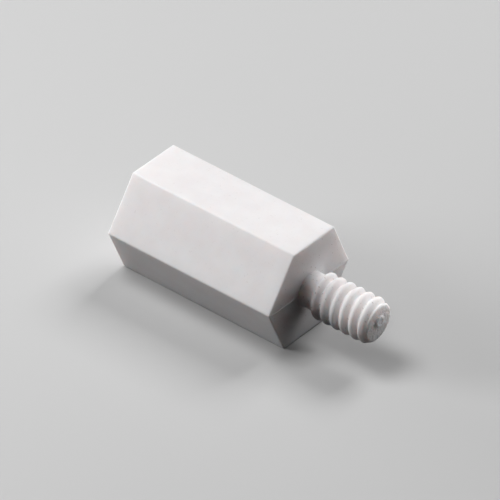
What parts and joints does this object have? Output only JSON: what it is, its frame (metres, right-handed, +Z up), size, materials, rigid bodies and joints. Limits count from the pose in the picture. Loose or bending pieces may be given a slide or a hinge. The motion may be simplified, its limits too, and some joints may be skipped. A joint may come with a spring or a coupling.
{
  "type": "hex standoff",
  "caption": "Hexagonal nylon standoff with a threaded stud at one end and a blind threaded bore at the other, for holding circuit boards apart.",
  "frame": {"origin": "bottom centre of the part's box: halfway along its length, below its axis, on the flat that it rests on", "axes": "+X along the axis from the bored end to the stud's tip, +Z up from the resting flat, +Y across the corners"},
  "size_m": [0.016, 0.0074, 0.0063],
  "materials": {
    "nylon": "satin"
  },
  "bodies": {
    "root": {"hex_standoff": "nylon"}
  },
  "joints": []
}
